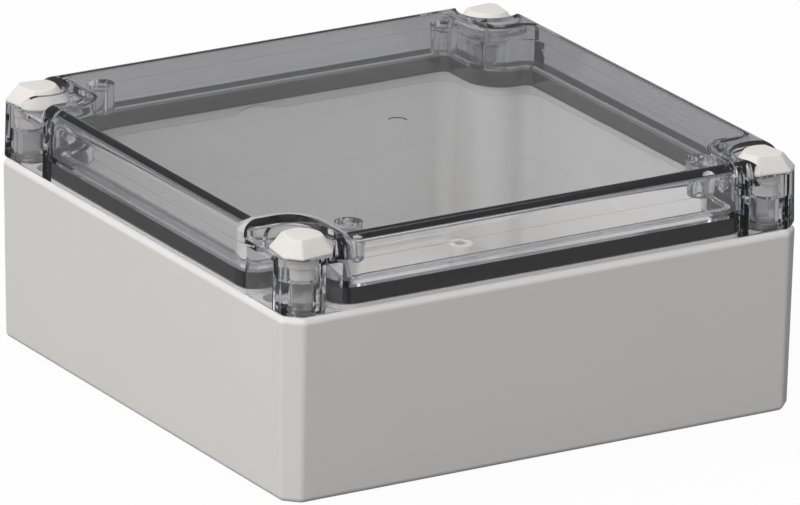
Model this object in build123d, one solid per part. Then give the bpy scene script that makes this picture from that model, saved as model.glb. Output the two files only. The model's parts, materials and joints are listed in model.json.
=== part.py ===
from build123d import *

import os
from math import atan2, cos, degrees, radians, sin, tan

# Hinged polycarbonate enclosure: a grey base, a clear lid with a seal, and four corner fasteners.
# Millimetres. Origin at the middle of the underside, +X to the hinge side, -Y to the front, +Z up.

# Overall size, over the rim of the base
WIDTH = 182.0
DEPTH = 180.0
HEIGHT = 82.0

# Base
LID_HEIGHT = 23.5       # top of the lid above the land that it stands over
DRAFT_ANGLE = 0.95      # lean of every outer wall, for release from the mould
FLOOR = 3.5
CORNER_FLAT = 4.8       # leg of the flat on each upright corner
UPRIGHT_ROUND = 2.5     # round on both edges of that flat
RIM_ROUND = 2.0
FOOT_ROUND = 1.8
CAVITY_ROUND = 2.0      # between the floor and the walls
STEP_DROP = 22.9        # faint step on the inner walls, below the land
STEP = 0.4

# Rim: a rib stands inside the lid's skirt and presses into the seal
RIB = 1.7
RIB_HEIGHT = 1.5
LEDGE = 0.5             # step between the rib and the wall under it
LEDGE_DROP = 1.9
TAB_WIDTH = 14.0        # arched tab on the ledge, at the middle of the front and back walls
TAB_RISE = 2.0

# Corner columns of the base, outside the sealed area, measured from the outer faces to the rib
COLUMN_X = 18.1
COLUMN_Y = 26.6
COLUMN_ROUND = 7.0
CORNER_ROUND = 8.0      # where a column meets a wall

# Bosses on the floor for a mounting plate, measured from the outer faces
BOSS_IN_X = 31.0
BOSS_IN_Y = 30.0
BOSS_DIAMETER = 8.0
BOSS_HEIGHT = 8.0
BOSS_PILOT = 3.4
BOSS_PILOT_DEPTH = 7.0

# Wall fixing: a screw goes down a channel in each column, measured from the outer faces
FIXING_IN_X = 10.0
FIXING_IN_Y = 21.0
FIXING_HOLE = 4.8
FIXING_CHANNEL = 9.0
FIXING_SEAT = 4.0

# Lid
LID_INSET = 0.4
LID_GAP = 0.3
LID_PLATE = 3.2
LID_WALL = 2.6
LID_TOP_ROUND = 4.2
LID_INNER_ROUND = 1.4
LID_FOOT_ROUND = 1.0
LIP = 1.6               # skirt outside the rib
LIP_CLEARANCE = 0.3

# Seal in the lid
SEAL_HEIGHT = 5.4
SEAL_WIDTH = 4.2
SEAL_SIDE_CLEARANCE = 0.05
SEAL_REST = 0.1
SEAL_ROOF = 1.8
SEAL_FENCE = 1.6
SEAL_FENCE_LIFT = 0.6   # foot of the inner fence above the rib

# Corner pockets of the lid, and a finger recess beside each latch, measured from the base's outer faces
POCKET_DEPTH = 5.4
POCKET_FLOOR = 2.6
POCKET_WALL = 2.2
GRIP_Y = 28.4
GRIP_ROUND = 8.0
GRIP_WALL = 1.4         # between a pocket and its recess

# Posts under the lid, measured from the base's outer faces, and the moulding mark at its middle
POST_IN_X = 29.0
POST_IN_Y = 15.0
POST_DIAMETER = 8.6
POST_LENGTH = 9.0
POST_PILOT = 3.0
POST_PILOT_DEPTH = 7.0
GATE_DIAMETER = 6.0
GATE_DEPTH = 0.4

# Fasteners: four alike heads, two on latch spindles and two on hinge forks
AXIS_IN = 9.3           # fastener axis from the outer faces
CAP_RADIUS = 9.9
CAP_SWEEP = 0.5         # room round a head that turns
CAP_FLAT = 4.4          # leg of the corner flat of a head
CAP_EDGE = 0.5
CAP_BEVEL = 3.5
CAP_TAPER = 7.5         # lean of each side of the head towards its corner
CAP_LIFT = 0.3
CAP_FACE_GAP = 0.1
NECK_DIAMETER = 11.0
NECK_CLEARANCE = 0.2
NECK_LENGTH = 3.7
COLLAR_DIAMETER = 8.3   # under the neck, in the wide top of the lid's tube
COLLAR_LENGTH = 4.1
COLLAR_GAP = 0.3
SHANK_DIAMETER = 5.4
SHANK_CLEARANCE = 0.2
SPIGOT_DIAMETER = 4.2
SPIGOT_LENGTH = 6.5
SPIGOT_CLEARANCE = 0.03
TUBE_WALL = 1.3         # round the collar

# Retaining clip in the foot of each tube
CLIP_DIAMETER = 8.6
CLIP_THICKNESS = 1.0
CLIP_GROOVE = 4.2
CLIP_CLEARANCE = 0.1
CLIP_ROOM = 0.3
CLIP_OPENING = 3.4

# Stepped bore in each column
MOUTH_DIAMETER = 11.6
MOUTH_DEPTH = 12.7
GUIDE_LENGTH = 8.5
STEM_CLEARANCE = 0.15
CHAMBER_DIAMETER = 10.8

# Latch spindle
SPINDLE_TIP = 1.7       # end of the spindle above the floor of the mouth
LUG_SPAN = 10.4
LUG_WIDTH = 4.4
LUG_HEIGHT = 3.0
LUG_RAISE = 1.2

# Hinge: a fork in the lid, a pin, and a stem that rises in the base as the lid swings
FORK_DIAMETER = 8.3
FORK_ROOT = 0.9         # solid over the slot of the fork
PIVOT_DROP = 6.0
PIN_DIAMETER = 2.5
PIN_CLEARANCE = 0.05
PIN_END_GAP = 0.25
TONGUE = 3.0
TONGUE_CLEARANCE = 0.1
TONGUE_RADIUS = 3.8
TONGUE_NECK = 5.2       # pivot to the shoulder of the stem
FORK_ROOT_CLEARANCE = 0.6
STEM_DIAMETER = 7.0
SHOULDER_GAP = 0.3
LIFT_PER_RADIAN = 11.0
OPEN_ANGLE = 95.0
STOP_DIAMETER = 10.2
STOP_THICKNESS = 2.4
STOP_GAP = 0.5
STOP_GROOVE = 5.4
STOP_OPENING = 4.4
STEM_TAIL = 2.0         # stem below its stop

# Places that follow from the sizes above
PARTING = HEIGHT - LID_HEIGHT
LAND = LID_INSET + LIP + LIP_CLEARANCE
LEDGE_LEVEL = PARTING - LEDGE_DROP
STEP_LEVEL = PARTING - STEP_DROP
RIB_TOP = PARTING + RIB_HEIGHT
LID_FOOT = PARTING + LID_GAP
SEAL_FOOT = RIB_TOP + SEAL_REST
SEAL_TOP = SEAL_FOOT + SEAL_HEIGHT
ROOF_TOP = SEAL_TOP + SEAL_ROOF
FENCE_FOOT = RIB_TOP + SEAL_FENCE_LIFT
PLATE_UNDER = HEIGHT - LID_PLATE
POCKET_LEVEL = HEIGHT - POCKET_DEPTH
POCKET_UNDER = POCKET_LEVEL - POCKET_FLOOR
CAP_ROOM = CAP_RADIUS + CAP_SWEEP
POCKET_REACH = AXIS_IN + CAP_ROOM
AXIS_X = WIDTH / 2 - AXIS_IN
AXIS_Y = DEPTH / 2 - AXIS_IN
BOSS_X = WIDTH / 2 - BOSS_IN_X
BOSS_Y = DEPTH / 2 - BOSS_IN_Y
FIXING_X = WIDTH / 2 - FIXING_IN_X
FIXING_Y = DEPTH / 2 - FIXING_IN_Y
POST_X = WIDTH / 2 - POST_IN_X
POST_Y = DEPTH / 2 - POST_IN_Y
CAP_LEVEL = POCKET_LEVEL + CAP_LIFT
NECK_FOOT = CAP_LEVEL - NECK_LENGTH
COLLAR_FOOT = NECK_FOOT - COLLAR_LENGTH
TUBE_STEP = COLLAR_FOOT - COLLAR_GAP
NECK_BORE = NECK_DIAMETER / 2 + NECK_CLEARANCE
SHANK_BORE = SHANK_DIAMETER / 2 + SHANK_CLEARANCE
TUBE_RADIUS = NECK_BORE + TUBE_WALL
CLIP_RECESS = CLIP_DIAMETER / 2 + CLIP_ROOM
CLIP_LEVEL = LID_FOOT + CLIP_ROOM
CLIP_ROOF = CLIP_LEVEL + CLIP_THICKNESS + CLIP_ROOM
MOUTH_LEVEL = PARTING - MOUTH_DEPTH
GUIDE_FOOT = MOUTH_LEVEL - GUIDE_LENGTH
PIVOT = PARTING - PIVOT_DROP
SLOT_TOP = PIVOT + TONGUE_RADIUS + FORK_ROOT_CLEARANCE
SHOULDER = PIVOT - TONGUE_NECK
STEM_LIFT = LIFT_PER_RADIAN * radians(OPEN_ANGLE)
STOP_TOP = GUIDE_FOOT - STEM_LIFT - STOP_GAP
STEM_FOOT = STOP_TOP - STOP_THICKNESS - STEM_TAIL

# Plan offsets, counted inwards from the outer face of the rib
LIP_INNER = -LIP_CLEARANCE
LIP_OUTER = LIP_INNER - LIP
LID_INNER = LIP_OUTER + LID_WALL
FENCE_OUTER = LIP_INNER + SEAL_WIDTH
FENCE_INNER = FENCE_OUTER + SEAL_FENCE
WALL_INNER = RIB + LEDGE

LATCH_CORNERS = [(-1, -1), (-1, 1)]
HINGE_CORNERS = [(1, -1), (1, 1)]
CORNERS = LATCH_CORNERS + HINGE_CORNERS
OVERRUN = 5.0           # how far a cutting shape passes the face that it cuts
SAME = 0.01             # two coordinates this close are taken as one


def prism(plan, low, high):
    """Straight prism over a plan, between two levels."""
    return extrude(Pos(0, 0, low) * plan, amount=high - low)


def drum(diameter, low, high):
    """Upright cylinder on the Z axis, between two levels."""
    return prism(Circle(diameter / 2), low, high)


def at_corner(corner, shape):
    """Shape moved from the Z axis to the fastener axis of a corner."""
    return Pos(corner[0] * AXIS_X, corner[1] * AXIS_Y, 0) * shape


def corner_plan(corner, reach_x, reach_y):
    """Rectangle over one corner that reaches inwards by two lengths from the base's outer faces."""
    align_x = Align.MIN if corner[0] > 0 else Align.MAX
    align_y = Align.MIN if corner[1] > 0 else Align.MAX
    inner = Pos(corner[0] * (WIDTH / 2 - reach_x), corner[1] * (DEPTH / 2 - reach_y))
    return inner * Rectangle(reach_x + OVERRUN, reach_y + OVERRUN, align=(align_x, align_y))


def cornered_plan(side, notch_x, latch_y, hinge_y, notch_round, corner_round):
    """Rectangle with a rounded notch at each corner, all measured from the base's outer faces."""
    half_x = WIDTH / 2 - side
    half_y = DEPTH / 2 - side

    def at_wall(vertex):
        return abs(abs(vertex.X) - half_x) < SAME or abs(abs(vertex.Y) - half_y) < SAME

    plan = Rectangle(2 * half_x, 2 * half_y)
    for corner in LATCH_CORNERS:
        plan -= corner_plan(corner, notch_x, latch_y)
    for corner in HINGE_CORNERS:
        plan -= corner_plan(corner, notch_x, hinge_y)
    plan = fillet([v for v in plan.vertices() if not at_wall(v)], notch_round)
    return fillet([v for v in plan.vertices() if at_wall(v)], corner_round)


def sealed_plan(inward):
    """Plan of the sealed area, moved inwards from the rib's outer face."""
    notch_y = COLUMN_Y + inward
    return cornered_plan(
        LAND + inward,
        COLUMN_X + inward,
        notch_y,
        notch_y,
        COLUMN_ROUND + inward,
        CORNER_ROUND - inward,
    )


def flat_cornered(inset):
    """Outer plan with a flat on each corner."""
    plan = Rectangle(WIDTH - 2 * inset, DEPTH - 2 * inset)
    return chamfer(plan.vertices(), CORNER_FLAT)


def upright_edges(solid):
    """Edges that run from the underside to the top of a drafted prism."""
    middle = solid.bounding_box().center().Z
    return [edge for edge in solid.edges() if abs(edge.center().Z - middle) < SAME]


def ledge_tab(side):
    """Arched tab in front of the rib that stands on the ledge."""
    radius = (TAB_WIDTH**2 / 4 + TAB_RISE**2) / (2 * TAB_RISE)
    thickness = LEDGE + RIB / 2
    middle = side * (DEPTH / 2 - LAND - WALL_INNER + thickness / 2)
    disc = Pos(0, middle, LEDGE_LEVEL + TAB_RISE - radius) * Rot(90, 0, 0) * Cylinder(radius, thickness)
    return disc & prism(Rectangle(WIDTH, DEPTH), LEDGE_LEVEL, HEIGHT)


def base_shell():
    """Drafted tray with a rim rib, four bored corner columns and plate bosses, moulded in one."""
    lean = PARTING * tan(radians(DRAFT_ANGLE))
    tray = extrude(flat_cornered(lean), amount=PARTING, taper=-DRAFT_ANGLE)
    tray = fillet(upright_edges(tray), UPRIGHT_ROUND)
    tray = fillet(tray.faces().sort_by(Axis.Z)[-1].edges(), RIM_ROUND)
    tray = fillet(tray.faces().sort_by(Axis.Z)[0].edges(), FOOT_ROUND)

    tray += prism(sealed_plan(0), LEDGE_LEVEL, RIB_TOP)
    upper_drop = LEDGE_LEVEL - STEP_LEVEL
    upper = Pos(0, 0, LEDGE_LEVEL) * sealed_plan(WALL_INNER)
    tray -= extrude(upper, amount=-upper_drop, taper=DRAFT_ANGLE)
    lower = Pos(0, 0, STEP_LEVEL) * sealed_plan(WALL_INNER + STEP + upper_drop * tan(radians(DRAFT_ANGLE)))
    cavity = extrude(lower, amount=FLOOR - STEP_LEVEL, taper=DRAFT_ANGLE)
    tray -= fillet(cavity.faces().sort_by(Axis.Z)[0].edges(), CAVITY_ROUND)
    tray -= prism(sealed_plan(RIB), LEDGE_LEVEL, RIB_TOP + OVERRUN)
    tray += ledge_tab(-1)
    tray += ledge_tab(1)

    bore = drum(MOUTH_DIAMETER, MOUTH_LEVEL, PARTING + OVERRUN)
    bore += drum(STEM_DIAMETER + 2 * STEM_CLEARANCE, GUIDE_FOOT - OVERRUN, MOUTH_LEVEL + OVERRUN)
    bore += drum(CHAMBER_DIAMETER, -OVERRUN, GUIDE_FOOT)
    channel = drum(FIXING_CHANNEL, FIXING_SEAT, PARTING + OVERRUN)
    channel += drum(FIXING_HOLE, -OVERRUN, FIXING_SEAT + OVERRUN)
    boss = drum(BOSS_DIAMETER, FLOOR - FLOOR / 2, FLOOR + BOSS_HEIGHT)
    boss -= drum(BOSS_PILOT, FLOOR + BOSS_HEIGHT - BOSS_PILOT_DEPTH, FLOOR + BOSS_HEIGHT + OVERRUN)
    for corner in CORNERS:
        tray -= at_corner(corner, bore)
        tray -= Pos(corner[0] * FIXING_X, corner[1] * FIXING_Y, 0) * channel
        tray += Pos(corner[0] * BOSS_X, corner[1] * BOSS_Y, 0) * boss
    return tray


def lid_body():
    """Solid form of the lid: drafted, rounded over its top edge, flat at its upright corners."""
    tall = HEIGHT - LID_FOOT
    plan = Pos(0, 0, LID_FOOT) * Rectangle(WIDTH - 2 * LID_INSET, DEPTH - 2 * LID_INSET)
    form = extrude(plan, amount=tall, taper=DRAFT_ANGLE)
    form = fillet(form.faces().sort_by(Axis.Z)[-1].edges(), LID_TOP_ROUND)
    cornered = Pos(0, 0, LID_FOOT) * flat_cornered(LID_INSET)
    sides = extrude(cornered, amount=tall + OVERRUN, taper=DRAFT_ANGLE)
    sides = fillet(upright_edges(sides), UPRIGHT_ROUND)
    sides = fillet(sides.faces().sort_by(Axis.Z)[0].edges(), LID_FOOT_ROUND)
    return form & sides


def pocket_plan(corner, wall):
    """Round pocket of a head, open to the corner, made larger by a wall."""
    return at_corner(corner, Circle(CAP_ROOM + wall)) + corner_plan(corner, AXIS_IN, AXIS_IN)


def grip_plan(corner):
    """Finger recess between the pocket of a latch and the middle of the lid's side."""
    plan = corner_plan(corner, POCKET_REACH, GRIP_Y)
    inner = min(plan.vertices(), key=lambda v: abs(v.X) + abs(v.Y))
    plan = fillet([inner], GRIP_ROUND)
    return plan - pocket_plan(corner, GRIP_WALL) - corner_plan(corner, POCKET_REACH, AXIS_IN)


def lid_shell():
    """Clear lid: plate, skirt, seal channel, corner pockets, fastener tubes and posts, moulded in one."""
    lid = lid_body()
    wall_top = LID_INSET + LID_WALL + (HEIGHT - LID_FOOT) * tan(radians(DRAFT_ANGLE))
    upper = prism(
        cornered_plan(
            wall_top,
            POCKET_REACH + POCKET_WALL,
            GRIP_Y + POCKET_WALL,
            COLUMN_Y + LID_INNER,
            GRIP_ROUND + POCKET_WALL,
            LID_INNER_ROUND + LID_WALL,
        ),
        POCKET_UNDER,
        PLATE_UNDER,
    )
    upper = fillet(upper.faces().sort_by(Axis.Z)[-1].edges(), LID_INNER_ROUND)
    lower = prism(sealed_plan(LID_INNER), ROOF_TOP, POCKET_UNDER)
    lid -= upper
    lid -= lower
    lid -= prism(sealed_plan(FENCE_INNER), LID_FOOT - OVERRUN, ROOF_TOP)
    lid -= prism(sealed_plan(LIP_INNER) - sealed_plan(FENCE_OUTER), LID_FOOT - OVERRUN, SEAL_TOP)
    lid -= prism(sealed_plan(FENCE_OUTER) - sealed_plan(FENCE_INNER), LID_FOOT - OVERRUN, FENCE_FOOT)

    # Corner compartments under the pockets, outside the seal
    compartments = flat_cornered(LID_INSET + LID_WALL) - sealed_plan(LIP_OUTER)
    low_rooms = prism(compartments, LID_FOOT - OVERRUN, POCKET_UNDER)
    high_rooms = prism(compartments, POCKET_UNDER, PLATE_UNDER)
    tube = drum(2 * TUBE_RADIUS, LID_FOOT, POCKET_UNDER)
    bore = drum(2 * NECK_BORE, TUBE_STEP, POCKET_LEVEL + OVERRUN)
    bore += drum(2 * SHANK_BORE, CLIP_ROOF - OVERRUN, TUBE_STEP + OVERRUN)
    bore += drum(2 * CLIP_RECESS, LID_FOOT - OVERRUN, CLIP_ROOF)
    for corner in CORNERS:
        low_rooms -= at_corner(corner, tube)
    lid -= low_rooms
    for corner in LATCH_CORNERS:
        lid -= prism(grip_plan(corner), POCKET_LEVEL, HEIGHT + OVERRUN)
    for corner in HINGE_CORNERS:
        room = high_rooms & prism(corner_plan(corner, WIDTH / 2, DEPTH / 2), POCKET_UNDER, PLATE_UNDER)
        lid -= room - prism(pocket_plan(corner, POCKET_WALL), POCKET_UNDER, PLATE_UNDER)
    for corner in CORNERS:
        lid -= prism(pocket_plan(corner, 0), POCKET_LEVEL, HEIGHT + OVERRUN)
        lid -= at_corner(corner, bore)

    post_foot = PLATE_UNDER - POST_LENGTH
    post = drum(POST_DIAMETER, post_foot, HEIGHT - LID_PLATE / 2)
    post -= drum(POST_PILOT, post_foot - OVERRUN, post_foot + POST_PILOT_DEPTH)
    for corner in CORNERS:
        lid += Pos(corner[0] * POST_X, corner[1] * POST_Y, 0) * post
    return lid - drum(GATE_DIAMETER, PLATE_UNDER - OVERRUN, PLATE_UNDER + GATE_DEPTH)


def gasket():
    """Black seal that fills the lid's channel and lies on the rib."""
    outer = sealed_plan(LIP_INNER + SEAL_SIDE_CLEARANCE)
    inner = sealed_plan(FENCE_OUTER - SEAL_SIDE_CLEARANCE)
    return prism(outer - inner, SEAL_FOOT, SEAL_TOP)


def fastener_cap(corner):
    """Bevelled head that fills a corner of the lid: a disc with two sides and a corner flat."""
    lean = (CAP_LEVEL - LID_FOOT) * tan(radians(DRAFT_ANGLE))
    reach = AXIS_IN - LID_INSET - lean - CAP_FACE_GAP
    beside = reach - CAP_FLAT
    run = reach + CAP_RADIUS + OVERRUN
    along = run * cos(radians(CAP_TAPER))
    aside = run * sin(radians(CAP_TAPER))
    wedge = make_face(
        Polyline(
            (-reach, -beside),
            (-beside, -reach),
            (-beside + along, -reach + aside),
            (-reach + aside, -beside + along),
            close=True,
        )
    )
    edge_top = CAP_LEVEL + CAP_EDGE
    rise = HEIGHT - edge_top
    dome = Cone(CAP_RADIUS, CAP_RADIUS - CAP_BEVEL, rise, align=(Align.CENTER, Align.CENTER, Align.MIN))
    sides = extrude(Pos(0, 0, edge_top) * wedge, amount=rise, taper=degrees(atan2(CAP_BEVEL, rise)))
    cap = prism(Circle(CAP_RADIUS) & wedge, CAP_LEVEL, edge_top)
    cap += Pos(0, 0, edge_top) * dome & sides
    cap += drum(NECK_DIAMETER, NECK_FOOT, CAP_LEVEL)
    cap += drum(COLLAR_DIAMETER, COLLAR_FOOT, NECK_FOOT)
    cap -= drum(SPIGOT_DIAMETER + 2 * SPIGOT_CLEARANCE, COLLAR_FOOT - OVERRUN, COLLAR_FOOT + SPIGOT_LENGTH)
    turn = degrees(atan2(corner[1], corner[0])) - degrees(atan2(-1, -1))
    return at_corner(corner, Rot(0, 0, turn) * cap)


def clip_waist(shaft):
    """Shaft with the groove that its retaining clip sits in."""
    ring = drum(2 * SHANK_DIAMETER, CLIP_LEVEL, CLIP_LEVEL + CLIP_THICKNESS)
    return shaft - (ring - drum(CLIP_GROOVE, CLIP_LEVEL, CLIP_LEVEL + CLIP_THICKNESS))


def retaining_clip(corner):
    """Open ring in the groove of a fastener, under the step of the lid's tube."""
    top = CLIP_LEVEL + CLIP_THICKNESS
    ring = drum(CLIP_DIAMETER, CLIP_LEVEL, top) - drum(CLIP_GROOVE + 2 * CLIP_CLEARANCE, CLIP_LEVEL, top)
    gap = Pos(0, CLIP_DIAMETER / 2, 0) * prism(Rectangle(CLIP_OPENING, CLIP_DIAMETER), CLIP_LEVEL, top)
    return at_corner(corner, ring - gap)


def latch_spindle(corner):
    """Quarter-turn spindle: spigot in the head, shank in the lid, cross lug in the base."""
    tip = MOUTH_LEVEL + SPINDLE_TIP
    lug_foot = tip + LUG_RAISE
    spindle = drum(SHANK_DIAMETER, tip, COLLAR_FOOT)
    spindle += drum(SPIGOT_DIAMETER, COLLAR_FOOT, COLLAR_FOOT + SPIGOT_LENGTH)
    spindle += prism(Rectangle(LUG_SPAN, LUG_WIDTH) & Circle(LUG_SPAN / 2), lug_foot, lug_foot + LUG_HEIGHT)
    return at_corner(corner, clip_waist(spindle))


def cross_pin(diameter, length):
    """Cylinder along Y at the height of the pivot."""
    return Pos(0, 0, PIVOT) * Rot(90, 0, 0) * Cylinder(diameter / 2, length)


def hinge_fork(corner):
    """Shank that hangs from a head through the lid and ends in two cheeks round the pin."""
    cheeks = cross_pin(FORK_DIAMETER, FORK_DIAMETER)
    cheeks &= drum(FORK_DIAMETER, PIVOT - FORK_DIAMETER, PIVOT + FORK_DIAMETER)
    fork = drum(FORK_DIAMETER, PIVOT, SLOT_TOP + FORK_ROOT) + cheeks
    fork += drum(SHANK_DIAMETER, SLOT_TOP, COLLAR_FOOT)
    fork += drum(SPIGOT_DIAMETER, COLLAR_FOOT, COLLAR_FOOT + SPIGOT_LENGTH)
    slot_width = TONGUE + 2 * TONGUE_CLEARANCE
    fork -= prism(Rectangle(2 * FORK_DIAMETER, slot_width), PIVOT - FORK_DIAMETER, SLOT_TOP)
    fork -= cross_pin(PIN_DIAMETER, 2 * FORK_DIAMETER)
    return at_corner(corner, clip_waist(fork))


def hinge_pin(corner):
    """Pin pressed into the cheeks of a fork."""
    return at_corner(corner, cross_pin(PIN_DIAMETER, FORK_DIAMETER - 2 * PIN_END_GAP))


def hinge_stem(corner):
    """Stem that slides in the base: flat tongue on the pin, shoulder, round rod, groove for the stop."""
    shoulder_foot = MOUTH_LEVEL + SHOULDER_GAP
    stem = prism(Rectangle(2 * TONGUE_RADIUS, TONGUE), shoulder_foot, PIVOT)
    stem += cross_pin(2 * TONGUE_RADIUS, TONGUE)
    stem -= cross_pin(PIN_DIAMETER + 2 * PIN_CLEARANCE, 2 * TONGUE)
    stem += drum(FORK_DIAMETER, shoulder_foot, SHOULDER)
    stem += drum(STEM_DIAMETER, STEM_FOOT, shoulder_foot)
    ring = drum(2 * STEM_DIAMETER, STOP_TOP - STOP_THICKNESS, STOP_TOP)
    stem -= ring - drum(STOP_GROOVE, STOP_TOP - STOP_THICKNESS, STOP_TOP)
    return at_corner(corner, stem)


def stem_stop(corner):
    """Ring in the groove of a stem, which meets the guide when the lid is fully open."""
    foot = STOP_TOP - STOP_THICKNESS
    ring = drum(STOP_DIAMETER, foot, STOP_TOP) - drum(STOP_GROOVE + 2 * CLIP_CLEARANCE, foot, STOP_TOP)
    gap = Pos(0, STOP_DIAMETER / 2, 0) * prism(Rectangle(STOP_OPENING, STOP_DIAMETER), foot, STOP_TOP)
    return at_corner(corner, ring - gap)


def pieces():
    """Every piece by its node name."""
    parts = {"base_shell": base_shell(), "lid_shell": lid_shell(), "gasket": gasket()}
    for end, latch, hinge in zip(("front", "back"), LATCH_CORNERS, HINGE_CORNERS):
        parts[f"latch_cap_{end}"] = fastener_cap(latch)
        parts[f"latch_spindle_{end}"] = latch_spindle(latch)
        parts[f"latch_clip_{end}"] = retaining_clip(latch)
        parts[f"hinge_cap_{end}"] = fastener_cap(hinge)
        parts[f"hinge_fork_{end}"] = hinge_fork(hinge)
        parts[f"hinge_clip_{end}"] = retaining_clip(hinge)
        parts[f"hinge_pin_{end}"] = hinge_pin(hinge)
        parts[f"hinge_stem_{end}"] = hinge_stem(hinge)
        parts[f"stem_stop_{end}"] = stem_stop(hinge)
    return parts


os.makedirs("parts", exist_ok=True)
for node, solid in pieces().items():
    export_step(solid, f"parts/{node}.step")
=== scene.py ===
"""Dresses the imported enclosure: grey moulded base, clear lid, black seal and four corner fasteners."""

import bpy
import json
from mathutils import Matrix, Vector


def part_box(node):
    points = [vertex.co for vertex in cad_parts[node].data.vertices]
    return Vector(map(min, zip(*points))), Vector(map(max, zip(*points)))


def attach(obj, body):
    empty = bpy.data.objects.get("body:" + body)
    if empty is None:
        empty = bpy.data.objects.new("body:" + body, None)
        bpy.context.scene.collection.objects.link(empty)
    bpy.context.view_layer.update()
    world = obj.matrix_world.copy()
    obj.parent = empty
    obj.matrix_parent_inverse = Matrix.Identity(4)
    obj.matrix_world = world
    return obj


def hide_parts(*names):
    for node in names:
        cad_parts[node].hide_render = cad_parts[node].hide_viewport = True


bl_info = {
    "name": "Hinged Polycarbonate Enclosure",
    "version": (1, 0, 0),
    "blender": (4, 5, 0),
    "location": "View3D > Sidebar > Enclosure",
    "description": "Finishes and studio for a grey enclosure with a clear hinged lid",
    "category": "Object",
}

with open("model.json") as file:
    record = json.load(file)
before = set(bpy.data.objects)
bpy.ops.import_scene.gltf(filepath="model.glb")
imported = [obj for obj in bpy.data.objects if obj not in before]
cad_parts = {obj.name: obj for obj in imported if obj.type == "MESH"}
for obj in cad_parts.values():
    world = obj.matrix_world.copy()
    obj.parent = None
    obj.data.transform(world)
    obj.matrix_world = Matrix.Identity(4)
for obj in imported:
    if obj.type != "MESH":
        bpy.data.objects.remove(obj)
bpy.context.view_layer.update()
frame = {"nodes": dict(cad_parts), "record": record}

import json
from math import cos, radians, sin

import bmesh
import bpy
import numpy as np
from bpy.props import FloatProperty, FloatVectorProperty, PointerProperty
from bpy.types import Operator, Panel, PropertyGroup
from mathutils import Matrix, Vector

MM = 0.001
TURN = 2 * np.pi
WHITE = (1.0, 1.0, 1.0, 1.0)
SLOTS = {part["node"]: part["material_slot"] for part in frame["record"]["subparts"]}

# Each head's shank, the body it rides on and its quarter turn from the corner at -X and -Y
HEADS = {
    "latch_cap_front": ("latch_spindle_front", "latch_front", 0),
    "latch_cap_back": ("latch_spindle_back", "latch_back", 3),
    "hinge_cap_front": ("hinge_fork_front", "lid", 1),
    "hinge_cap_back": ("hinge_fork_back", "lid", 2),
}

# How finely the heads and the seal are drawn
HEAD_COLUMNS = 240
EDGE_STEPS = 4
ARC_POINTS = 12
BEAD_POINTS = 7
CORNER_SHARPNESS = 90.0
CREASE = radians(40)
MOST_OF_SIDE = 0.45

# Where a head's rows end: shares of its radius and of its socket, and room outside its neck
TOP_ROW_SHARE = 0.3
SOCKET_ROW_SHARE = 0.3
FOOT_ROOM = 2.2 * MM

# How the copies of the solids are merged and shaded
MERGE = 0.002 * MM
FLATNESS = radians(0.2)
CAD_CREASE = radians(28)

# Camera, solved from the photo's straight edges
PHOTO_WIDTH_PX = 800
FOCAL_PX = 11043
SENSOR_MM = 36.0
CAMERA_AIM = (1.2 * MM, -0.7 * MM, 38.4 * MM)

# Floor: its glow, and the shares of it that the camera sees straight and through clear plastic
FLOOR_HALF = 3.0
FLOOR_GLOW = 1.12
FLOOR_SEEN, FLOOR_SEEN_THROUGH = 0.85, 0.31
FLOOR_GREY, FLOOR_MIRRORED_GREY = "#787878", "#4A4A4A"

# Surroundings: a glow from the upper left, and what clear plastic shows, by height
GLOW_FROM = (-0.65, -0.05, 0.75)
GLOW_STARTS, GLOW_PEAKS = -0.2, 0.95
GLOW_LEAST, GLOW_MOST = 0.26, 1.6
BACKDROP, OVERHEAD = 0.42, 0.16
BACKDROP_ENDS, OVERHEAD_STARTS = 0.05, 0.3

# Lamps: place, size, watts and colour
LAMP_AIM = (0.0, 0.0, 0.04)
LAMPS = {
    "key": ((-1.1, -0.35, 0.75), (0.8, 0.8), 3.0, "#FFFBF2"),
    "top": ((0.1, 0.2, 1.3), (1.0, 1.0), 2.6, "#FFFFFF"),
}

POLYCARBONATE_IOR = 1.585
NYLON_IOR = 1.53
FOAM_IOR = 1.5


def linear(hex_colour):
    """Linear RGBA of an sRGB hex colour."""
    srgb = np.array([int(hex_colour[i : i + 2], 16) / 255 for i in (1, 3, 5)])
    rgb = np.where(srgb <= 0.04045, srgb / 12.92, ((srgb + 0.055) / 1.055) ** 2.4)
    return (*rgb.tolist(), 1.0)


def colour_property(name, description, hex_colour):
    """Colour swatch that starts from an sRGB hex colour."""
    return FloatVectorProperty(
        name=name, description=description, default=linear(hex_colour), size=4, subtype="COLOR", min=0, max=1
    )


def length_property(name, description, metres):
    """Length in metres."""
    return FloatProperty(name=name, description=description, default=metres, unit="LENGTH", precision=5)


class EnclosureColours(PropertyGroup):
    """Colours of the mouldings"""

    base: colour_property("Base", "Light grey of the moulded tray", "#D3D2D0")
    lid: colour_property("Lid", "Clear plastic of the lid", "#F8F8F9")
    seal: colour_property("Seal", "Foamed seal", "#121011")
    cap: colour_property("Heads", "Pale grey of the fastener heads", "#CFCCC8")
    shank: colour_property("Shanks", "Natural nylon of the shanks and stems", "#E3E1DD")
    steel: colour_property("Clips", "Spring steel of the clips and pins", "#B9B8B5")


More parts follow.
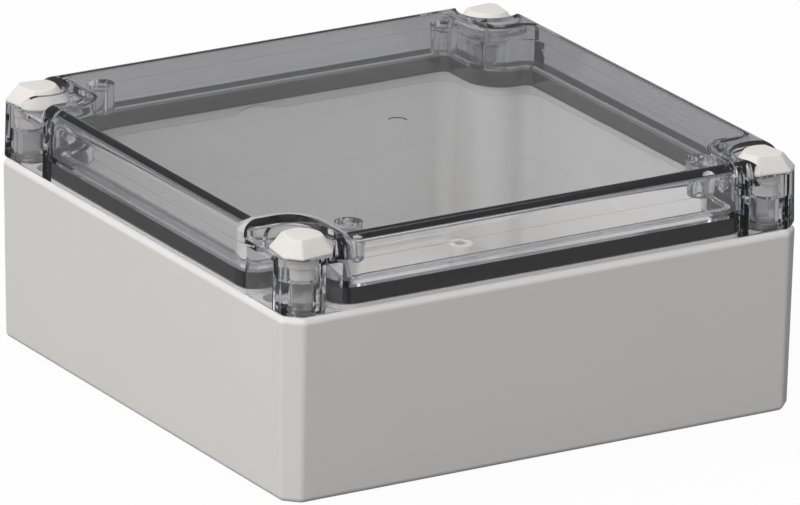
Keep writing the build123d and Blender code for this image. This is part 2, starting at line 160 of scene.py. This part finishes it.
class EnclosureSizes(PropertyGroup):
    """Sizes of the pieces that are drawn here"""

    cap_flat: length_property("Corner flat", "Leg of the flat on the corner of a head", 4.4 * MM)
    cap_bevel: length_property("Bevel", "How far a head spreads from its top to its edge", 3.5 * MM)
    cap_edge: length_property("Edge", "Upright edge under the bevel of a head", 0.5 * MM)
    cap_round: length_property("Edge round", "Rounding of the edges of a head", 0.35 * MM)
    cap_neck: length_property("Neck", "Radius of the neck under a head", 5.5 * MM)
    cap_neck_length: length_property("Neck length", "Length of the neck", 3.7 * MM)
    cap_collar: length_property("Collar", "Radius of the collar under the neck", 4.15 * MM)
    cap_collar_length: length_property("Collar length", "Length of the collar", 4.1 * MM)
    cap_socket: length_property("Socket", "Radius of the hole in the collar", 2.13 * MM)
    cap_socket_depth: length_property("Socket depth", "Depth of the hole in the collar", 6.5 * MM)
    cap_taper: FloatProperty(
        name="Side lean", description="Lean of each side of a head", default=radians(7.5), subtype="ANGLE"
    )
    seal_width: length_property("Seal width", "Width of the seal", 4.1 * MM)
    seal_notch_x: length_property("Seal notch X", "Depth of the seal's notch at a column, along X", 15.8 * MM)
    seal_notch_y: length_property("Seal notch Y", "Depth of the seal's notch at a column, along Y", 24.3 * MM)
    seal_notch_round: length_property("Column round", "Seal's outer radius round a column", 6.75 * MM)
    seal_corner_round: length_property("Corner round", "Seal's outer radius at a wall", 8.25 * MM)
    seal_bead: length_property("Bead", "Rounding of the foot of the seal", 0.9 * MM)
    seal_crest: length_property("Crest", "Width of the seal at its top, by the skirt", 1.0 * MM)
    seal_slack: length_property("Slack", "Air between the seal and the roof of its channel", 0.05 * MM)


class EnclosureStudio(PropertyGroup):
    """Camera of the studio"""

    azimuth: FloatProperty(
        name="Azimuth", description="Camera's turn round the part", default=radians(-31.25), subtype="ANGLE"
    )
    elevation: FloatProperty(
        name="Elevation", description="Camera's rise above the level", default=radians(19.05), subtype="ANGLE"
    )
    roll: FloatProperty(
        name="Roll", description="Turn of the picture", default=radians(0.89), subtype="ANGLE"
    )
    distance: length_property("Distance", "Camera to its target", 3.395)
    focal_widths: FloatProperty(
        name="Focal length", description="Focal length in picture widths", default=FOCAL_PX / PHOTO_WIDTH_PX
    )


# Geometry

def new_piece(name, vertices, faces, node, body, material):
    """Mesh object at the origin that stands for a CAD node and rides on its body."""
    mesh = bpy.data.meshes.new(name)
    mesh.from_pydata(vertices.tolist(), [], faces)
    mesh.update()
    mesh.shade_smooth()
    piece = bpy.data.objects.new(name, mesh)
    return place(piece, node, body, material)


def place(piece, node, body, material):
    """Links a piece, gives it its material, hangs it on its body, and hides the CAD node that it stands for."""
    bpy.context.scene.collection.objects.link(piece)
    piece.data.materials.clear()
    piece.data.materials.append(material)
    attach(piece, body)
    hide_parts(node)
    return piece


def round_grid(rows, columns, first_pole, last_pole):
    """Faces of a grid that closes round its columns, with a pole before its first and after its last row."""
    step = np.arange(columns)
    after = (step + 1) % columns
    low = np.arange(rows - 1)[:, None] * columns
    high = low + columns
    quads = np.stack([low + step, low + after, high + after, high + step], 2).reshape(-1, 4)
    last = (rows - 1) * columns
    top = np.stack([np.full(columns, first_pole), after, step], 1)
    end = np.stack([np.full(columns, last_pole), last + step, last + after], 1)
    return top.tolist() + quads.tolist() + end.tolist()


def rounded(profile, radius):
    """Open polyline with each inner corner turned into a parabola that starts about a radius before it.

    A curve takes up less than half of either side, so that two curves never meet.
    """
    profile = np.array(profile, float)
    corner = profile[1:-1]
    back, ahead = profile[:-2] - corner, profile[2:] - corner
    back_length = np.linalg.norm(back, axis=1, keepdims=True)
    ahead_length = np.linalg.norm(ahead, axis=1, keepdims=True)
    reach = np.minimum(radius, MOST_OF_SIDE * np.minimum(back_length, ahead_length))
    start = (corner + back / back_length * reach)[:, None]
    end = (corner + ahead / ahead_length * reach)[:, None]
    share = np.linspace(0, 1, EDGE_STEPS + 1)[None, :, None]
    curves = (1 - share) ** 2 * start + 2 * share * (1 - share) * corner[:, None] + share**2 * end
    return np.concatenate([profile[:1], curves.reshape(-1, 2), profile[-1:]])


def smooth_copy(node, name, body, material):
    """Copy of a CAD node with its triangles merged, so that rounds shade smoothly and flats stay flat."""
    mesh = frame["nodes"][node].data.copy()
    mesh.name = name
    form = bmesh.new()
    form.from_mesh(mesh)
    bmesh.ops.remove_doubles(form, verts=form.verts, dist=MERGE)
    bmesh.ops.dissolve_limit(form, angle_limit=FLATNESS, verts=form.verts, edges=form.edges)
    bmesh.ops.triangulate(form, faces=form.faces, quad_method="BEAUTY", ngon_method="BEAUTY")
    for face in form.faces:
        face.smooth = True
    for edge in form.edges:
        edge.smooth = edge.is_manifold and edge.calc_face_angle(0.0) < CAD_CREASE
    form.to_mesh(mesh)
    form.free()
    piece = bpy.data.objects.new(name, mesh)
    weigh = piece.modifiers.new("flat_faces", "WEIGHTED_NORMAL")
    weigh.keep_sharp = True
    weigh.weight = 100
    return place(piece, node, body, material)


# Materials

def add_node(tree, kind, settings=None, inputs=None):
    """Node of a kind with its settings, its inputs set to values or linked to other nodes' outputs."""
    node = tree.nodes.new(kind)
    for key, value in (settings or {}).items():
        setattr(node, key, value)
    for key, value in (inputs or {}).items():
        if isinstance(value, bpy.types.NodeSocket):
            tree.links.new(value, node.inputs[key])
        else:
            node.inputs[key].default_value = value
    return node


def new_material(name):
    """Empty node material with its output."""
    material = bpy.data.materials.new(name)
    material.use_nodes = True
    tree = material.node_tree
    tree.nodes.clear()
    return material, tree, tree.nodes.new("ShaderNodeOutputMaterial")


def grain(tree, size, detail, depth=None):
    """Noise whose grains have a size in metres and, where it has a depth, the bump that it gives."""
    where = add_node(tree, "ShaderNodeTexCoord")
    noise = add_node(
        tree,
        "ShaderNodeTexNoise",
        inputs={"Vector": where.outputs["Object"], "Scale": 1 / size, "Detail": detail},
    )
    if depth is None:
        return noise, None
    bump = add_node(
        tree,
        "ShaderNodeBump",
        inputs={"Strength": 1.0, "Distance": depth, "Height": noise.outputs["Fac"]},
    )
    return noise, bump


def mottled(tree, source, colour, spread):
    """Colour that varies a little, lighter and darker, with a noise."""
    dark = tuple(c * (1 - spread) for c in colour[:3]) + (1.0,)
    light = tuple(min(1.0, c * (1 + spread)) for c in colour[:3]) + (1.0,)
    return add_node(
        tree,
        "ShaderNodeMix",
        settings={"data_type": "RGBA"},
        inputs={"Factor": source.outputs["Fac"], "A": dark, "B": light},
    )


def moulded_polycarbonate(colour):
    """Opaque polycarbonate from a finely eroded mould: satin, even, with a grain just too fine to count.

    The grain is drawn at 0.5 mm, coarser than the mould's, so that it shows.
    """
    material, tree, out = new_material("polycarbonate_grey_moulded")
    fine, bump = grain(tree, 0.5 * MM, 2.0, 0.006 * MM)
    wide, _ = grain(tree, 30 * MM, 2.0)
    tint = mottled(tree, wide, colour, 0.012)
    gloss = add_node(
        tree, "ShaderNodeMapRange", inputs={"Value": fine.outputs["Fac"], "To Min": 0.36, "To Max": 0.48}
    )
    shader = add_node(
        tree,
        "ShaderNodeBsdfPrincipled",
        inputs={
            "Base Color": tint.outputs["Result"],
            "Roughness": gloss.outputs["Result"],
            "IOR": POLYCARBONATE_IOR,
            "Normal": bump.outputs["Normal"],
        },
    )
    tree.links.new(shader.outputs["BSDF"], out.inputs["Surface"])
    return material


def clear_polycarbonate(colour):
    """Clear polycarbonate from a polished mould: glassy, faintly wavy, and bluish where it is deep.

    Light on its way to what lies under the lid passes straight through, so that the inside is lit evenly.
    """
    material, tree, out = new_material("polycarbonate_clear_polished")
    _, bump = grain(tree, 40 * MM, 1.0, 0.02 * MM)
    shader = add_node(
        tree,
        "ShaderNodeBsdfPrincipled",
        inputs={
            "Base Color": colour,
            "Roughness": 0.015,
            "IOR": POLYCARBONATE_IOR,
            "Transmission Weight": 0.995,
            "Normal": bump.outputs["Normal"],
        },
    )
    ray = add_node(tree, "ShaderNodeLightPath")
    passing = add_node(tree, "ShaderNodeBsdfTransparent", inputs={"Color": WHITE})
    scattered = add_node(
        tree,
        "ShaderNodeMixShader",
        inputs={0: ray.outputs["Is Diffuse Ray"], 1: shader.outputs["BSDF"], 2: passing.outputs["BSDF"]},
    )
    mix = add_node(
        tree,
        "ShaderNodeMixShader",
        inputs={0: ray.outputs["Is Shadow Ray"], 1: scattered.outputs["Shader"], 2: passing.outputs["BSDF"]},
    )
    depth = add_node(
        tree, "ShaderNodeVolumeAbsorption", inputs={"Color": linear("#98A5DA"), "Density": 10.0}
    )
    tree.links.new(mix.outputs["Shader"], out.inputs["Surface"])
    tree.links.new(depth.outputs["Volume"], out.inputs["Volume"])
    return material


def foamed_seal(colour):
    """Foamed polyurethane seal: dull black skin with fine closed cells."""
    material, tree, out = new_material("polyurethane_foam_black")
    cells, bump = grain(tree, 0.45 * MM, 3.0, 0.06 * MM)
    tint = mottled(tree, cells, colour, 0.25)
    shader = add_node(
        tree,
        "ShaderNodeBsdfPrincipled",
        inputs={
            "Base Color": tint.outputs["Result"],
            "Roughness": 0.85,
            "IOR": FOAM_IOR,
            "Normal": bump.outputs["Normal"],
        },
    )
    tree.links.new(shader.outputs["BSDF"], out.inputs["Surface"])
    return material


def moulded_nylon(name, colour, roughness, clearness=0.0):
    """Nylon from a smooth mould: waxy sheen, soft orange peel; uncoloured, it lets most light through."""
    material, tree, out = new_material(name)
    peel, bump = grain(tree, 1.2 * MM, 2.0, 0.008 * MM)
    tint = mottled(tree, peel, colour, 0.02)
    shader = add_node(
        tree,
        "ShaderNodeBsdfPrincipled",
        inputs={
            "Base Color": tint.outputs["Result"],
            "Roughness": roughness,
            "IOR": NYLON_IOR,
            "Transmission Weight": clearness,
            "Normal": bump.outputs["Normal"],
        },
    )
    tree.links.new(shader.outputs["BSDF"], out.inputs["Surface"])
    return material


def spring_steel(colour):
    """Stamped spring steel: bright, with short rolling scratches, drawn coarser than real so that they show."""
    material, tree, out = new_material("spring_steel_stamped")
    scratch, bump = grain(tree, 0.3 * MM, 4.0, 0.004 * MM)
    gloss = add_node(
        tree, "ShaderNodeMapRange", inputs={"Value": scratch.outputs["Fac"], "To Min": 0.22, "To Max": 0.4}
    )
    shader = add_node(
        tree,
        "ShaderNodeBsdfPrincipled",
        inputs={
            "Base Color": colour,
            "Metallic": 1.0,
            "Roughness": gloss.outputs["Result"],
            "Normal": bump.outputs["Normal"],
        },
    )
    tree.links.new(shader.outputs["BSDF"], out.inputs["Surface"])
    return material


# Pieces

def head_outline(angle, inward, sizes, reach, radius):
    """Radius of a head at an angle: the soft least of a circle, two leaning sides and a corner flat.

    A straight side's radius is its distance over the cosine of the angle from its normal, and far off
    where it faces away. The soft least is the sum of the four radii, each to a high negative power, taken
    back to a length.
    """
    corner = np.radians(225.0)
    least_facing = 0.05
    far_off = 10 * radius
    beside = reach - sizes.cap_flat
    flat = (reach + beside) / np.sqrt(2)
    across = (reach - beside) / np.sqrt(2)
    side_turn = np.radians(45.0) + sizes.cap_taper
    side = flat * np.cos(side_turn) + across * np.sin(side_turn)
    turns = np.array([[0.0], [side_turn], [-side_turn]])
    distances = np.array([[flat], [side], [side]]) - inward
    facing = np.cos(angle - corner - turns)
    straight = np.where(facing > least_facing, distances / np.maximum(facing, least_facing), far_off)
    limits = np.concatenate([np.full((1, len(angle)), radius - inward), straight])
    least = limits.min(0)
    return least * np.sum((limits / least) ** -CORNER_SHARPNESS, 0) ** (-1 / CORNER_SHARPNESS)


class ENCLOSURE_OT_heads(Operator):
    """Four fastener heads, each a bevelled outline carried over a profile"""

    bl_idname = "enclosure.heads"
    bl_label = "Fastener heads"

    def execute(self, context):
        sizes = context.scene.enclosure_sizes
        material = moulded_nylon("nylon_pale_grey_moulded", context.scene.enclosure_colours.cap, 0.38)
        for node, (shank, body, quarter) in HEADS.items():
            self.head(sizes, node, shank, quarter, body, material)
        return {"FINISHED"}

    def head(self, sizes, node, shank, quarter, body, material):
        """Surface over an angle and a profile: the outline drawn in by a row's inset, then circles.

        The axis is the shank's. A head reaches less far towards its corner's sides than its round part does.
        """
        low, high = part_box(node)
        shank_low, shank_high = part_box(shank)
        axis = (shank_low + shank_high) / 2
        reach, radius = sorted((axis.x - low.x, high.x - axis.x))
        neck_foot = low.z + sizes.cap_collar_length
        edge_foot = neck_foot + sizes.cap_neck_length
        socket_top = low.z + sizes.cap_socket_depth
        top_inset = sizes.cap_bevel + TOP_ROW_SHARE * radius
        foot_inset = radius - sizes.cap_neck - FOOT_ROOM
        skirt = rounded(
            [
                (top_inset, high.z),
                (sizes.cap_bevel, high.z),
                (0.0, edge_foot + sizes.cap_edge),
                (0.0, edge_foot),
                (foot_inset, edge_foot),
            ],
            sizes.cap_round,
        )
        neck = rounded(
            [
                (sizes.cap_neck, edge_foot),
                (sizes.cap_neck, neck_foot),
                (sizes.cap_collar, neck_foot),
                (sizes.cap_collar, low.z),
                (sizes.cap_socket, low.z),
                (sizes.cap_socket, socket_top),
                (SOCKET_ROW_SHARE * sizes.cap_socket, socket_top),
            ],
            0.5 * sizes.cap_round,
        )
        angle = np.linspace(0, TURN, HEAD_COLUMNS, endpoint=False)
        outlines = [head_outline(angle, inward, sizes, reach, radius) for inward in skirt[:, 0]]
        circles = np.broadcast_to(neck[:, :1], (len(neck), HEAD_COLUMNS))
        spread = np.concatenate([outlines, circles])
        height = np.concatenate([skirt[:, 1:], neck[:, 1:]])
        turn = angle + quarter * TURN / 4
        x, y = axis.x + spread * np.cos(turn), axis.y + spread * np.sin(turn)
        grid = np.stack([x, y, np.broadcast_to(height, x.shape)], 2).reshape(-1, 3)
        poles = np.array([[axis.x, axis.y, high.z], [axis.x, axis.y, socket_top]])
        faces = round_grid(len(spread), HEAD_COLUMNS, len(grid), len(grid) + 1)
        piece = new_piece(node + "_head", np.concatenate([grid, poles]), faces, node, body, material)
        face_outwards(piece.data)
        piece.data.set_sharp_from_angle(angle=CREASE)


def face_outwards(mesh):
    """Turns the faces of a closed mesh outwards."""
    form = bmesh.new()
    form.from_mesh(mesh)
    bmesh.ops.recalc_face_normals(form, faces=form.faces)
    form.to_mesh(mesh)
    form.free()


def seal_path(half_x, half_y, notch_x, notch_y, column_round, corner_round):
    """Closed line round a rectangle with a rounded notch at each corner, and its inward normals.

    One quarter runs from the middle of the front to the middle of the right side, as three quarter circles:
    round a wall's end, hollow round the column, and round the next wall's end. Y and then X mirror it.
    """
    inner_x, inner_y = half_x - notch_x, half_y - notch_y
    sweep = np.linspace(0, TURN / 4, ARC_POINTS)
    outward = np.stack([np.sin(sweep), -np.cos(sweep)], 1)
    hollow = np.stack([-np.cos(sweep), np.sin(sweep)], 1)
    first = np.array([inner_x - corner_round, corner_round - half_y]) + corner_round * outward
    middle = np.array([inner_x + column_round, -inner_y - column_round]) + column_round * hollow
    last = np.array([half_x - corner_round, corner_round - inner_y]) + corner_round * outward
    line = np.concatenate([first, middle, last])
    inward = np.concatenate([-outward, hollow, -outward])
    for flip in (np.array([1.0, -1.0]), np.array([-1.0, 1.0])):
        line = np.concatenate([line, (line * flip)[::-1]])
        inward = np.concatenate([inward, (inward * flip)[::-1]])
    return line, inward


class ENCLOSURE_OT_seal(Operator):
    """Black seal, a poured bead carried along its line: upright by the skirt, a quarter ellipse inside"""

    bl_idname = "enclosure.seal"
    bl_label = "Seal"

    def execute(self, context):
        sizes = context.scene.enclosure_sizes
        low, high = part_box("gasket")
        path, inward = seal_path(
            high.x,
            high.y,
            sizes.seal_notch_x,
            sizes.seal_notch_y,
            sizes.seal_notch_round,
            sizes.seal_corner_round,
        )
        bead, width, crest = sizes.seal_bead, sizes.seal_width, sizes.seal_crest
        foot, top = low.z + bead, high.z - sizes.seal_slack
        sweep = np.linspace(0, TURN / 4, BEAD_POINTS)
        outer_foot = np.stack([bead - bead * np.cos(sweep), foot - bead * np.sin(sweep)], 1)
        inner_foot = np.stack([width - bead + bead * np.sin(sweep), foot - bead * np.cos(sweep)], 1)
        dome = np.stack([crest + (width - crest) * np.cos(sweep), foot + (top - foot) * np.sin(sweep)], 1)
        profile = np.concatenate([[[0.0, top]], outer_foot, inner_foot, dome[1:]])
        around, along = len(profile), len(path)
        plan = path[:, None, :] + inward[:, None, :] * profile[None, :, :1]
        height = np.broadcast_to(profile[None, :, 1:], (along, around, 1))
        vertices = np.concatenate([plan, height], 2).reshape(-1, 3)
        row = np.arange(along)[:, None] * around
        after = ((np.arange(along) + 1) % along)[:, None] * around
        here = np.arange(around)[None, :]
        beside = (here + 1) % around
        faces = np.stack([row + here, row + beside, after + beside, after + here], 2).reshape(-1, 4)
        material = foamed_seal(context.scene.enclosure_colours.seal)
        piece = new_piece("seal_bead", vertices, faces.tolist(), "gasket", "lid", material)
        face_outwards(piece.data)
        piece.data.set_sharp_from_angle(angle=CREASE)
        return {"FINISHED"}


class ENCLOSURE_OT_base(Operator):
    """Grey tray with its rim and corner columns"""

    bl_idname = "enclosure.base"
    bl_label = "Base"

    def execute(self, context):
        material = moulded_polycarbonate(context.scene.enclosure_colours.base)
        smooth_copy("base_shell", "base_tray", "base", material)
        return {"FINISHED"}


class ENCLOSURE_OT_lid(Operator):
    """Clear lid with its pockets, tubes and posts"""

    bl_idname = "enclosure.lid"
    bl_label = "Lid"

    def execute(self, context):
        material = clear_polycarbonate(context.scene.enclosure_colours.lid)
        smooth_copy("lid_shell", "lid_clear", "lid", material)
        return {"FINISHED"}


class ENCLOSURE_OT_shanks(Operator):
    """Spindles, forks, stems, pins, clips and stops of the fasteners"""

    bl_idname = "enclosure.shanks"
    bl_label = "Shanks, clips and pins"

    def execute(self, context):
        colours = context.scene.enclosure_colours
        nylon = moulded_nylon("nylon_natural_moulded", colours.shank, 0.2, clearness=0.85)
        steel = spring_steel(colours.steel)
        finishes = {"fastener_nylon": nylon, "spring_steel": steel}
        for body, nodes in frame["record"]["behaviour"]["bodies"].items():
            for node in nodes:
                if SLOTS[node] in finishes:
                    smooth_copy(node, node + "_dressed", body, finishes[SLOTS[node]])
        return {"FINISHED"}


def studio_light(name, place_at, size, watts, hue):
    """Large soft lamp that faces the part."""
    lamp = bpy.data.lights.new(name, "AREA")
    lamp.shape = "RECTANGLE"
    lamp.size, lamp.size_y = size
    lamp.energy = watts
    lamp.color = linear(hue)[:3]
    holder = bpy.data.objects.new(name, lamp)
    bpy.context.scene.collection.objects.link(holder)
    holder.location = place_at
    holder.rotation_euler = (Vector(LAMP_AIM) - Vector(place_at)).to_track_quat("-Z", "Y").to_euler()


class ENCLOSURE_OT_stage(Operator):
    """Pale floor, soft lamps, white surroundings and the camera"""

    bl_idname = "enclosure.stage"
    bl_label = "Stage"

    def execute(self, context):
        scene = context.scene
        scene.view_settings.view_transform = "Standard"
        self.floor(scene)
        self.surroundings(scene)
        self.lamps()
        self.camera(scene)
        return {"FINISHED"}

    def floor(self, scene):
        """Paper that the camera sees white with the part's shadow, and that clear plastic shows as grey."""
        half = FLOOR_HALF
        corners = [(-half, -half, 0), (half, -half, 0), (half, half, 0), (-half, half, 0)]
        mesh = bpy.data.meshes.new("floor")
        mesh.from_pydata(corners, [], [(0, 1, 2, 3)])
        floor = bpy.data.objects.new("floor", mesh)
        scene.collection.objects.link(floor)
        material, tree, out = new_material("studio_paper_white")
        ray = add_node(tree, "ShaderNodeLightPath")
        grey = add_node(
            tree,
            "ShaderNodeMix",
            settings={"data_type": "RGBA"},
            inputs={
                "Factor": ray.outputs["Is Glossy Ray"],
                "A": linear(FLOOR_GREY),
                "B": linear(FLOOR_MIRRORED_GREY),
            },
        )
        paper = add_node(tree, "ShaderNodeBsdfDiffuse", inputs={"Color": grey.outputs["Result"]})
        glow = add_node(tree, "ShaderNodeEmission", inputs={"Color": WHITE, "Strength": FLOOR_GLOW})
        through = add_node(
            tree,
            "ShaderNodeMath",
            settings={"operation": "MULTIPLY"},
            inputs={0: ray.outputs["Is Transmission Ray"], 1: FLOOR_SEEN_THROUGH},
        )
        share = add_node(
            tree,
            "ShaderNodeMath",
            settings={"operation": "MULTIPLY_ADD"},
            inputs={0: ray.outputs["Is Camera Ray"], 1: FLOOR_SEEN, 2: through.outputs["Value"]},
        )
        mix = add_node(
            tree,
            "ShaderNodeMixShader",
            inputs={0: share.outputs["Value"], 1: paper.outputs["BSDF"], 2: glow.outputs["Emission"]},
        )
        tree.links.new(mix.outputs["Shader"], out.inputs["Surface"])
        mesh.materials.append(material)

    def surroundings(self, scene):
        """White for the camera, a grey backdrop and a dark ceiling for clear plastic, light from the left."""
        world = bpy.data.worlds.new("studio")
        world.use_nodes = True
        tree = world.node_tree
        tree.nodes.clear()
        ray = add_node(tree, "ShaderNodeLightPath")
        bent = add_node(
            tree,
            "ShaderNodeMath",
            settings={"operation": "MAXIMUM"},
            inputs={0: ray.outputs["Is Glossy Ray"], 1: ray.outputs["Is Transmission Ray"]},
        )
        straight = add_node(
            tree,
            "ShaderNodeMath",
            settings={"operation": "LESS_THAN"},
            inputs={0: ray.outputs["Diffuse Depth"], 1: 0.5},
        )
        clear = add_node(
            tree,
            "ShaderNodeMath",
            settings={"operation": "MULTIPLY"},
            inputs={0: bent.outputs["Value"], 1: straight.outputs["Value"]},
        )
        direction = add_node(tree, "ShaderNodeTexCoord")
        rise = add_node(tree, "ShaderNodeSeparateXYZ", inputs={"Vector": direction.outputs["Generated"]})
        backdrop = add_node(
            tree,
            "ShaderNodeMapRange",
            settings={"interpolation_type": "SMOOTHSTEP"},
            inputs={
                "Value": rise.outputs["Z"],
                "From Min": BACKDROP_ENDS,
                "From Max": OVERHEAD_STARTS,
                "To Min": BACKDROP,
                "To Max": OVERHEAD,
            },
        )
        facing = add_node(
            tree,
            "ShaderNodeVectorMath",
            settings={"operation": "DOT_PRODUCT"},
            inputs={0: direction.outputs["Generated"], 1: Vector(GLOW_FROM).normalized()},
        )
        glow = add_node(
            tree,
            "ShaderNodeMapRange",
            settings={"interpolation_type": "SMOOTHSTEP"},
            inputs={
                "Value": facing.outputs["Value"],
                "From Min": GLOW_STARTS,
                "From Max": GLOW_PEAKS,
                "To Min": GLOW_LEAST,
                "To Max": GLOW_MOST,
            },
        )
        shown = add_node(
            tree,
            "ShaderNodeMix",
            settings={"data_type": "FLOAT"},
            inputs={0: clear.outputs["Value"], 2: glow.outputs["Result"], 3: backdrop.outputs["Result"]},
        )
        strength = add_node(
            tree,
            "ShaderNodeMix",
            settings={"data_type": "FLOAT"},
            inputs={0: ray.outputs["Is Camera Ray"], 2: shown.outputs["Result"], 3: 1.0},
        )
        sky = add_node(
            tree, "ShaderNodeBackground", inputs={"Color": WHITE, "Strength": strength.outputs["Result"]}
        )
        out = add_node(tree, "ShaderNodeOutputWorld")
        tree.links.new(sky.outputs["Background"], out.inputs["Surface"])
        scene.world = world

    def lamps(self):
        """A slightly warm key from the left and a top lamp."""
        for name, settings in LAMPS.items():
            studio_light(name, *settings)

    def camera(self, scene):
        """Long lens at the photo's angle, with the photo's slight roll."""
        studio = scene.enclosure_studio
        camera = bpy.data.cameras.new("camera")
        camera.sensor_width = SENSOR_MM
        camera.lens = studio.focal_widths * SENSOR_MM
        camera.clip_start, camera.clip_end = 0.1, 20.0
        holder = bpy.data.objects.new("camera", camera)
        scene.collection.objects.link(holder)
        aim = Vector(CAMERA_AIM)
        level = cos(studio.elevation)
        away = Vector((sin(studio.azimuth) * level, -cos(studio.azimuth) * level, sin(studio.elevation)))
        place_at = Matrix.Translation(aim + studio.distance * away)
        turn = (-away).to_track_quat("-Z", "Y").to_matrix().to_4x4()
        holder.matrix_world = place_at @ turn @ Matrix.Rotation(studio.roll, 4, "Z")
        scene.camera = holder


class ENCLOSURE_PT_panel(Panel):
    """Lists the pieces of the enclosure"""

    bl_idname = "ENCLOSURE_PT_panel"
    bl_label = "Enclosure"
    bl_space_type = "VIEW_3D"
    bl_region_type = "UI"
    bl_category = "Enclosure"

    def draw(self, context):
        for operator in OPERATORS:
            self.layout.operator(operator.bl_idname)


OPERATORS = (
    ENCLOSURE_OT_base,
    ENCLOSURE_OT_lid,
    ENCLOSURE_OT_seal,
    ENCLOSURE_OT_heads,
    ENCLOSURE_OT_shanks,
    ENCLOSURE_OT_stage,
)
GROUPS = {
    "enclosure_colours": EnclosureColours,
    "enclosure_sizes": EnclosureSizes,
    "enclosure_studio": EnclosureStudio,
}


def register():
    """Registers the classes and hangs the settings on the scene."""
    for group in (*GROUPS.values(), *OPERATORS, ENCLOSURE_PT_panel):
        bpy.utils.register_class(group)
    for name, group in GROUPS.items():
        setattr(bpy.types.Scene, name, PointerProperty(type=group))


def unregister():
    """Takes the settings and classes away again."""
    for name in GROUPS:
        delattr(bpy.types.Scene, name)
    for group in (ENCLOSURE_PT_panel, *reversed(OPERATORS), *reversed(GROUPS.values())):
        bpy.utils.unregister_class(group)


def main():
    """Makes every piece in order."""
    register()
    bpy.ops.enclosure.base()
    bpy.ops.enclosure.lid()
    bpy.ops.enclosure.seal()
    bpy.ops.enclosure.heads()
    bpy.ops.enclosure.shanks()
    bpy.ops.enclosure.stage()


if __name__ == "__main__":
    main()
